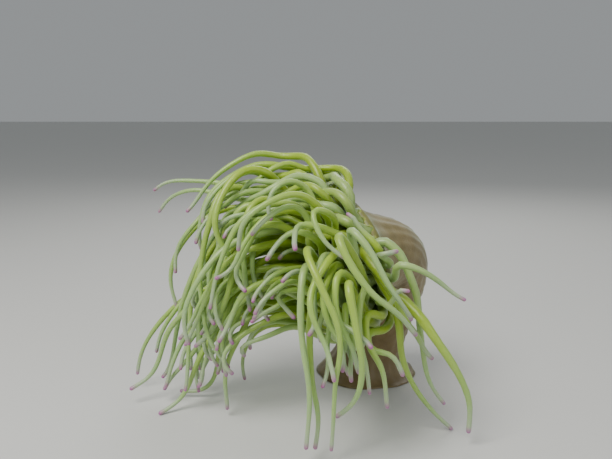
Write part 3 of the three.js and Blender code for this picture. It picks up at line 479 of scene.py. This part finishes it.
shares = np.arange(STATIONS + 1) / STATIONS
girths = np.array([girth for _, _, girth in crown])
radius = np.outer(girths, TIP_RADIUS + (ROOT_RADIUS - TIP_RADIUS) * (1 - shares) ** TAPER)
give = np.clip(np.arange(STATIONS + 1) / ROOT_HOLD, 0, 1)[None, :, None]
start = np.array([line for _, line, _ in crown])
place = start.copy()
shift = np.zeros_like(start)
flat_radius = radius.reshape(-1)
owner = np.repeat(np.arange(len(crown)), STATIONS + 1)
bulge_heights = np.arange(BULGES) / BULGES * (COLUMN_LENGTH - BULGE_MARGIN)
bulge_places, bulge_radii = column_point(bulge_heights), column_radius(bulge_heights)
for step in range(SETTLING_STEPS):
    flat = place.reshape(-1, 3)
    if step % LISTING_STEPS == 0:
        tree = KDTree(len(flat))
        for i, p in enumerate(flat):
            tree.insert(p, i)
        tree.balance()
        pairs = []
        for i, p in enumerate(flat):
            for _, j, distance in tree.find_range(p, flat_radius[i] + radius.max() + LISTING_REACH):
                near = distance < flat_radius[i] + flat_radius[j] + LISTING_REACH
                if j > i and owner[i] != owner[j] and near:
                    pairs.append((i, j))
        one, two = np.array(pairs).T
    apart = flat[one] - flat[two]
    distance = np.linalg.norm(apart, axis=1) + NO_DISTANCE
    lack = np.maximum(flat_radius[one] + flat_radius[two] + CLEARANCE - distance, 0)
    move = apart * (0.5 * lack / distance)[:, None]
    push = np.zeros_like(flat)
    np.add.at(push, one, move)
    np.add.at(push, two, -move)
    size = np.linalg.norm(push, axis=1, keepdims=True)
    push *= np.minimum(1, LONGEST_PUSH / np.maximum(size, NO_PUSH))
    for middle, bulge in zip(bulge_places, bulge_radii):
        apart = flat - middle
        distance = np.linalg.norm(apart, axis=1)
        lack = np.maximum(bulge + flat_radius + COLUMN_CLEARANCE - distance, 0)
        push += apart * (0.5 * lack / distance)[:, None]
    shift += push.reshape(shift.shape) * give
    before = shift.copy()
    beside = before[:, :-2] + before[:, 2:]
    shift[:, 1:-1] = (1 - SHIFT_SMOOTHING) * before[:, 1:-1] + SHIFT_SMOOTHING / 2 * beside
    shift[:, -1] = 0.5 * (before[:, -1] + before[:, -2])
    shift *= give
    place = start + shift
    sunk = np.maximum(radius - GROUND_DIP - place[:, :, 2], 0) * (give[..., 0] > 0)
    place[:, :, 2] += sunk
    shift[:, :, 2] += sunk

# ---- body skin
# Foot, column, collar, oral disc and lips are one soft wall of flesh. It is made as rings of points from the
# middle of the sole up the bent column, out over the collar to the disc's margin, and in to the mouth.
BODY_SIDES = 120
COLUMN_RINGS = 56
SKIN_INSET = 0.4  # how far the column's skin lies inside its girth, to leave room for its folds
FOOT_WAVE_DEPTH = 0.5  # the foot's margin wanders by the sum of three waves
FOOT_WAVES = ((5, 1, 0), (8, 0.7, 1), (13, 0.4, 2))  # their number round the foot, share and shift
FOOT_WAVES_FADE = 6  # height over which they fade out
FOLDS = 20  # along the column
FOLD_DEPTH = 0.35
WAIST_FOLDS = 0.35  # share of that depth which the folds have everywhere
FOOT_FOLDS = 0.6  # and what is added at the foot
FOOT_FOLDS_FADE = 16
DISC_FADE = 14  # height over which what is added under the disc fades out
FOLD_SWAY = 1.5  # how far the folds bend aside, in radians
FOLD_SWAY_HEIGHT = 18  # height over which that bend moves on by a radian
CREASE_DEPTH = 0.16  # of the fine creases round the column
CREASE_PACE = 1.9  # radians for each millimetre of height
SLANTED_CREASE_DEPTH = 0.12
SLANTED_CREASE_PACE = 1.1
COLLAR_TONE = 0.8  # how far the column's colour has gone to the disc's at its top
GROOVES = 24  # radial grooves in the mouth field
LIP_NARROWING = 0.38  # the mouth is a slit, narrower than it is tall
LIP_STRETCH = 0.15
BODY_ON_MAP = ((0.01, 0.99), (0.01, 0.30))  # the strip of the map that the body takes up
CENTRE = 0.02  # radius of the smallest ring, which closes the skin
SOLE = (CENTRE, 9, 18, 25)  # radii of the rings in the flat sole
FOOT_EDGE = ((28.6, 0.0), (29.3, 0.5))  # radius and height of the rings in its edge
COLUMN_START = 1.4  # height of the column's first ring
COLUMN_END = 0.6  # how far its last one is from the disc's back

# The disc's margin: each ring's radius and how far it stands out from the disc's face; minus is behind it.
MARGIN = ((34.0, -4.9), (35.2, -4.2), (35.9, -3.2), (36.1, -2.0), (35.7, -0.9), (34.9, -0.2))
DISC_FACE = (33, 30.4, 27.8, 25.2, 22.6, 20, 17.4, 16.2)  # radii of the rings from there to the mouth field

# The mouth field, the lips and the throat: each ring's radius, height, groove depth and share of the lips.
MOUTH = (
    (14.8, 0.1, 0.12, 0), (13.4, 0.35, 0.22, 0), (11.8, 0.7, 0.26, 0), (10.2, 1.1, 0.26, 0.1),
    (8.8, 1.6, 0.22, 0.4), (7.6, 2.1, 0.18, 0.8), (6.9, 2.7, 0.2, 1), (6.7, 3.5, 0.2, 1),
    (6.2, 4.2, 0.2, 1), (5.4, 4.65, 0.2, 1), (4.6, 4.6, 0.18, 1), (3.9, 4.1, 0.16, 1),
    (3.4, 3.2, 0.12, 1), (3.1, 2.0, 0.08, 1), (2.4, 0.4, 0, 1), (1.2, -1.2, 0, 1), (CENTRE, -1.6, 0, 1),
)
round_body = np.linspace(0, 2 * math.pi, BODY_SIDES, endpoint=False)


def body_ring(middle, along, reach, lift=0.0):
    """A ring of the skin: reach is its radius at each side, lift how far it stands out along the body."""
    side = unit(ACROSS - along * (along @ ACROSS))
    other = np.cross(along, side)
    across = np.outer(np.cos(round_body), side) + np.outer(np.sin(round_body), other)
    return middle + across * np.reshape(reach, (-1, 1)) + np.outer(np.ones(BODY_SIDES) * lift, along)


body_rings, body_tone = [], []  # tone: 0 on the sole and column, 1 on the disc
waves = FOOT_WAVE_DEPTH * sum(share * np.sin(count * round_body + turn) for count, share, turn in FOOT_WAVES)
for reach in SOLE:
    body_rings.append(body_ring(np.zeros(3), UP, np.full(BODY_SIDES, reach)))
    body_tone.append(0)
for reach, height in FOOT_EDGE:
    body_rings.append(body_ring(UP * height, UP, reach + waves))
    body_tone.append(0)
for height in np.linspace(COLUMN_START, COLUMN_LENGTH - COLUMN_END, COLUMN_RINGS):
    middle = column_point(height)
    along = unit(column_point(min(height + 1, COLUMN_LENGTH)) - column_point(max(height - 1, 0)))
    near_foot = math.exp(-height / FOOT_WAVES_FADE)
    near_disc = math.exp((height - COLUMN_LENGTH) / DISC_FADE)
    folding = FOLD_DEPTH * (WAIST_FOLDS + near_disc + FOOT_FOLDS * math.exp(-height / FOOT_FOLDS_FADE))
    sway = FOLD_SWAY * np.sin(2 * round_body + height / FOLD_SWAY_HEIGHT)
    folds = folding * np.sin(FOLDS * round_body + sway)
    level_creases = CREASE_DEPTH * math.sin(height * CREASE_PACE)
    slanted_creases = SLANTED_CREASE_DEPTH * np.sin(height * SLANTED_CREASE_PACE + 3 * round_body)
    creases = level_creases + slanted_creases
    reach = column_radius(height) - SKIN_INSET + folds + creases + waves * near_foot
    body_rings.append(body_ring(middle, along, reach))
    body_tone.append(min(1, near_disc * COLLAR_TONE))
for reach, lift in MARGIN:
    body_rings.append(body_ring(DISC_CENTRE, DISC_FACING, np.full(BODY_SIDES, reach), lift))
    body_tone.append(1)
for reach in DISC_FACE:
    body_rings.append(body_ring(DISC_CENTRE, DISC_FACING, np.full(BODY_SIDES, reach), 0.0))
    body_tone.append(1)
grooves = np.cos(GROOVES * round_body)
for reach, lift, groove, lip in MOUTH:
    ring = body_ring(np.zeros(3), DISC_FACING, np.full(BODY_SIDES, reach))
    ring += np.outer(grooves * groove, DISC_FACING)
    narrow, tall = 1 - LIP_NARROWING * lip, 1 + LIP_STRETCH * lip
    ring += np.outer(ring @ ACROSS, ACROSS) * (narrow - 1) + np.outer(ring @ RISE, RISE) * (tall - 1)
    body_rings.append(ring + DISC_CENTRE + DISC_FACING * lift)
    body_tone.append(1)

skin_points, skin_faces, skin_uv = [], [], []
skin_along, skin_tip, skin_tone, skin_body = [], [], [], []


def add_tube(rings, u_span, v_span, along, tip, tone, body):
    """A closed skin from rings of points, with a cap at each end, laid out as an upright strip of the map.

    Each ring has its share of the way along, its distance from the tip in metres, its tone, and 1 for body.
    """
    rings = np.array(rings)
    rows, sides = rings.shape[:2]
    first = len(skin_points)
    skin_points.extend(rings.reshape(-1, 3))
    for values, kept in ((along, skin_along), (tip, skin_tip), (tone, skin_tone), (body, skin_body)):
        kept.extend(np.repeat(values, sides))
    across = np.linspace(u_span[0], u_span[1], sides + 1)
    up = np.linspace(v_span[0], v_span[1], rows)
    for row in range(rows - 1):
        for k in range(sides):
            n = (k + 1) % sides
            skin_faces.append([first + row * sides + k, first + row * sides + n,
                               first + (row + 1) * sides + n, first + (row + 1) * sides + k])
            skin_uv.append([(across[k], up[row]), (across[k + 1], up[row]),
                            (across[k + 1], up[row + 1]), (across[k], up[row + 1])])
    for row, order in ((0, range(sides - 1, -1, -1)), (rows - 1, range(sides))):
        skin_faces.append([first + row * sides + k for k in order])
        skin_uv.append([(across[k], up[row]) for k in order])


def made_object(name):
    """The faces gathered so far as one mesh object, and the lists emptied for the next."""
    mesh = bpy.data.meshes.new(name)
    mesh.from_pydata([tuple(p * MM) for p in skin_points], [], skin_faces)
    layer = mesh.uv_layers.new(name="OFBake")
    layer.data.foreach_set("uv", np.array([uv for face in skin_uv for uv in face], np.float32).reshape(-1))
    for key, values in (("along", skin_along), ("tip", skin_tip), ("tone", skin_tone), ("body", skin_body)):
        attribute = mesh.attributes.new(key, "FLOAT", "POINT")
        attribute.data.foreach_set("value", np.array(values, np.float32))
    for kept in (skin_points, skin_faces, skin_uv, skin_along, skin_tip, skin_tone, skin_body):
        kept.clear()
    made = bpy.data.objects.new(name, mesh)
    bpy.context.scene.collection.objects.link(made)
    return made


rows = len(body_rings)
far_from_tips, all_body = np.ones(rows), np.ones(rows)
add_tube(body_rings, *BODY_ON_MAP, np.linspace(0, 1, rows), far_from_tips, np.array(body_tone), all_body)
skin = made_object("anemone_skin")

# ---- tentacle skins
# Each tentacle is a soft tapering tube with a wide root, faint swellings along it and a blunt, rounded tip.
TENTACLE_SIDES = 12
FEWEST_ROWS = 8
ROW_SPACING = 2.8
BASE_ROWS = (0, 1.1, 2.4)  # distances from the root of the first rings
EVEN_ROWS_FROM = 4
TIP_ROWS = (0.72, 0.42, 0.18, 0.04)  # distances from the end of the last rings, as shares of its rounding
ROOT_SINK = 2.2  # how far the tube starts below the disc's face
ROOT_FLARE = 0.55  # how much wider it is where it leaves the disc
FLARE_REACH = 2.4
UPRIGHT_REACH = 2.0  # over which its rings turn from the disc's facing to its own way
SWELLINGS = ((0.035, 0.31, 1), (0.025, 0.83, 2.3))  # share of the girth, radians per millimetre, and shift
TIP_ROUNDING = 1.1  # length of the rounded end, as a share of the tip's radius
TIP_SWELL = 0.12
SWELL_PLACE = 2.6  # from the end
SWELL_REACH = 2.2
MAP_LEFT, MAP_LOW = 0.005, 0.31  # corner of what the tentacles take up on the map
MAP_WIDTH, MAP_HEIGHT = 0.99, 0.68
STRIP_ROWS = 3
STRIP_COLUMNS = 37
GAP_ACROSS, GAP_UP = 0.002, 0.005  # margins of each tentacle's strip
round_tube = np.linspace(0, 2 * math.pi, TENTACLE_SIDES, endpoint=False)


def tube_rings(line, seed, stoutness):
    """The rings of a tentacle's skin, each one's share of the length, and how far it is from the tip."""
    steps = np.linalg.norm(np.diff(line, axis=0), axis=1)
    travelled = np.concatenate([[0], np.cumsum(steps)])
    length = travelled[-1]
    tip_round = TIP_RADIUS * stoutness * TIP_ROUNDING
    count = max(FEWEST_ROWS, round((length - EVEN_ROWS_FROM - tip_round) / ROW_SPACING))
    distances = np.concatenate([
        BASE_ROWS, np.linspace(EVEN_ROWS_FROM, length - tip_round, count),
        length - tip_round * np.array(TIP_ROWS),
    ])
    curve = smooth_curve(line)
    places = np.array([curve(s) for s in np.interp(distances, travelled, np.linspace(0, 1, len(line)))])
    share = distances / length
    girth = stoutness * (TIP_RADIUS + (ROOT_RADIUS - TIP_RADIUS) * (1 - share) ** TAPER)
    swelling = 1
    for depth, pace, turn in SWELLINGS:
        swelling = swelling + depth * np.sin(distances * pace + turn * seed)
    girth *= swelling
    girth += ROOT_FLARE * np.exp(-((distances / FLARE_REACH) ** 2))
    girth *= 1 + TIP_SWELL * np.exp(-(((length - distances - SWELL_PLACE) / SWELL_REACH) ** 2))
    ended = np.clip((length - distances) / tip_round, 0, 1)
    girth *= np.sqrt(1 - (1 - ended) ** 2)
    along = np.gradient(places, axis=0)
    along /= np.linalg.norm(along, axis=1, keepdims=True)
    upright = np.exp(-distances / UPRIGHT_REACH)[:, None]
    along = along * (1 - upright) + DISC_FACING * upright
    along /= np.linalg.norm(along, axis=1, keepdims=True)
    places = np.vstack([places[0] - DISC_FACING * ROOT_SINK, places])
    along = np.vstack([DISC_FACING, along])
    girth = np.concatenate([girth[:1], girth])
    share = np.concatenate([[0], share])
    to_tip = length - np.concatenate([[0], distances])
    rings, side = [], ACROSS
    for place, way, reach in zip(places, along, girth):
        side = unit(side - way * (way @ side))
        other = np.cross(way, side)
        ring = place + reach * (np.outer(np.cos(round_tube), side) + np.outer(np.sin(round_tube), other))
        ring[:, 2] = np.maximum(ring[:, 2], 0)
        rings.append(ring)
    return rings, share, to_tip


tentacles = []
for number, ((root, _, stoutness), line) in enumerate(zip(crown, place)):
    rings, share, to_tip = tube_rings(line, root["seed"], stoutness)
    column, level = number % STRIP_COLUMNS, number // STRIP_COLUMNS
    left = MAP_LEFT + column * MAP_WIDTH / STRIP_COLUMNS
    low = MAP_LOW + level * MAP_HEIGHT / STRIP_ROWS
    strip_across = (left + GAP_ACROSS, left + MAP_WIDTH / STRIP_COLUMNS - GAP_ACROSS)
    strip_up = (low + GAP_UP, low + MAP_HEIGHT / STRIP_ROWS - GAP_UP)
    tone = np.full(len(rings), chance(root["seed"] * 13 + 5))
    add_tube(rings, strip_across, strip_up, share, to_tip * MM, tone, np.zeros(len(rings)))
    tentacles.append(made_object(f"tentacle_{number}"))

# ---- one skin
# The living animal has no seams, so every tentacle is grown into the disc and the whole is one closed skin.
for tentacle in tentacles:
    growing = skin.modifiers.new(tentacle.name, "BOOLEAN")
    growing.solver = "MANIFOLD"
    growing.operation = "UNION"
    growing.object = tentacle
grown = bpy.data.meshes.new_from_object(skin.evaluated_get(bpy.context.evaluated_depsgraph_get()))
skin.modifiers.clear()
skin.data = grown
grown.name = "anemone_skin"
for tentacle in tentacles:
    bpy.data.objects.remove(tentacle)
grown.polygons.foreach_set("use_smooth", np.ones(len(grown.polygons), bool))

# ---- flesh
# Moist translucent skin: brownish olive on the column, olive at the roots darkened there by painted shade,
# then yellow green to a pale mint, with a pink tip on each tentacle. It is faintly mottled and finely
# creased.
# The first stop, dark olive at the roots, is partly the tentacles' own colour and partly painted shade where
# they crowd in shadow by the disc.
ALONG_TENTACLE_WITH_ROOT_SHADE = (  # share of the length and the colour there
    (0.0, (0.11, 0.16, 0.003)), (0.12, (0.25, 0.36, 0.005)), (0.38, (0.34, 0.49, 0.016)),
    (0.68, (0.325, 0.50, 0.09)), (1.0, (0.31, 0.49, 0.22)),
)
ALONG_BODY = ((0.0, (0.17, 0.115, 0.045)), (0.5, (0.19, 0.15, 0.045)), (1.0, (0.13, 0.15, 0.018)))
PALE_GREEN = (0.35, 0.51, 0.25)
YELLOW_SPECKS = (0.46, 0.58, 0.13)
LILAC = (0.50, 0.44, 0.50)
PINK = (0.42, 0.08, 0.34)
BROWN_SPECKS = (0.29, 0.22, 0.10)

# Where each colour lies over the one before: a tone, speck or distance from the tip in metres, and the share.
PALE_SHARES = ((0.0, 0), (0.55, 0.05), (1.0, 0.7))
YELLOW_SHARES = ((0.35, 0), (0.7, 0.22))
LILAC_SHARES = ((0.0, 0.42), (0.005, 0.3), (0.018, 0))
PINK_SHARES = ((0.0, 0.95), (0.0014, 0.8), (0.0038, 0))
BROWN_SHARES = ((0.3, 0), (0.75, 0.6))
TENTACLE_ROUGHNESS = 0.36
BODY_ROUGHNESS = 0.56

flesh = bpy.data.materials.new("flesh")
flesh.use_nodes = True
flesh_nodes, flesh_links = flesh.node_tree.nodes, flesh.node_tree.links
flesh_shader = flesh_nodes["Principled BSDF"]
flesh_place = flesh_nodes.new("ShaderNodeTexCoord").outputs["Object"]


def reading(name):
    """What one of the skin's own values says at each point."""
    attribute = flesh_nodes.new("ShaderNodeAttribute")
    attribute.attribute_name = name
    return attribute.outputs["Fac"]


def ramp(value, stops):
    """A colour that changes with a value, through stops that each give the value and the colour."""
    made = flesh_nodes.new("ShaderNodeValToRGB")
    made.color_ramp.elements.remove(made.color_ramp.elements[1])
    made.color_ramp.elements[0].position = stops[0][0]
    made.color_ramp.elements[0].color = (*stops[0][1], 1)
    for position, colour in stops[1:]:
        made.color_ramp.elements.new(position).color = (*colour, 1)
    flesh_links.new(value, made.inputs["Fac"])
    return made.outputs["Color"]


def laid_over(under, colour, value, shares):
    """A colour laid over another, by shares that change with a value."""
    made = flesh_nodes.new("ShaderNodeMix")
    made.data_type = "RGBA"
    grey_stops = [(position, (share, share, share)) for position, share in shares]
    flesh_links.new(ramp(value, grey_stops), made.inputs["Factor"])
    flesh_links.new(under, made.inputs["A"])
    made.inputs["B"].default_value = (*colour, 1)
    return made.outputs["Result"]


def noise(scale, detail):
    made = flesh_nodes.new("ShaderNodeTexNoise")
    made.inputs["Scale"].default_value = scale
    made.inputs["Detail"].default_value = detail
    flesh_links.new(flesh_place, made.inputs["Vector"])
    return made.outputs["Fac"]


tentacle_colour = ramp(reading("along"), ALONG_TENTACLE_WITH_ROOT_SHADE)
tentacle_colour = laid_over(tentacle_colour, PALE_GREEN, reading("tone"), PALE_SHARES)
tentacle_colour = laid_over(tentacle_colour, YELLOW_SPECKS, noise(420, 3), YELLOW_SHARES)
tentacle_colour = laid_over(tentacle_colour, LILAC, reading("tip"), LILAC_SHARES)
tentacle_colour = laid_over(tentacle_colour, PINK, reading("tip"), PINK_SHARES)
body_colour = ramp(reading("tone"), ALONG_BODY)
body_colour = laid_over(body_colour, BROWN_SPECKS, noise(160, 5), BROWN_SHARES)
body_or_tentacle = flesh_nodes.new("ShaderNodeMix")
body_or_tentacle.data_type = "RGBA"
flesh_links.new(reading("body"), body_or_tentacle.inputs["Factor"])
flesh_links.new(tentacle_colour, body_or_tentacle.inputs["A"])
flesh_links.new(body_colour, body_or_tentacle.inputs["B"])
flesh_links.new(body_or_tentacle.outputs["Result"], flesh_shader.inputs["Base Color"])
wrinkles = flesh_nodes.new("ShaderNodeBump")
wrinkles.inputs["Strength"].default_value = 0.25
wrinkles.inputs["Distance"].default_value = 0.0006
flesh_links.new(noise(900, 4), wrinkles.inputs["Height"])
flesh_links.new(wrinkles.outputs["Normal"], flesh_shader.inputs["Normal"])
wetness = flesh_nodes.new("ShaderNodeMapRange")
wetness.inputs["To Min"].default_value = TENTACLE_ROUGHNESS
wetness.inputs["To Max"].default_value = BODY_ROUGHNESS
flesh_links.new(reading("body"), wetness.inputs["Value"])
flesh_links.new(wetness.outputs["Result"], flesh_shader.inputs["Roughness"])
flesh_shader.inputs["Subsurface Weight"].default_value = 0.35
flesh_shader.inputs["Subsurface Radius"].default_value = (0.9, 1.0, 0.35)
flesh_shader.inputs["Subsurface Scale"].default_value = 0.002
flesh_shader.inputs["Sheen Weight"].default_value = 0.35
flesh_shader.inputs["Sheen Roughness"].default_value = 0.35
flesh_shader.inputs["Sheen Tint"].default_value = (0.82, 1.0, 0.86, 1)
flesh_shader.inputs["Coat Weight"].default_value = 0.1
flesh_shader.inputs["Coat Roughness"].default_value = 0.2
grown.materials.clear()
grown.materials.append(flesh)

# ---- set down
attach(skin, "root")
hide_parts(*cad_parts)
plain = lambda box: [[float(v) for v in corner] for corner in box]
{"cad": plain(cad_box), "visual": plain(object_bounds())}
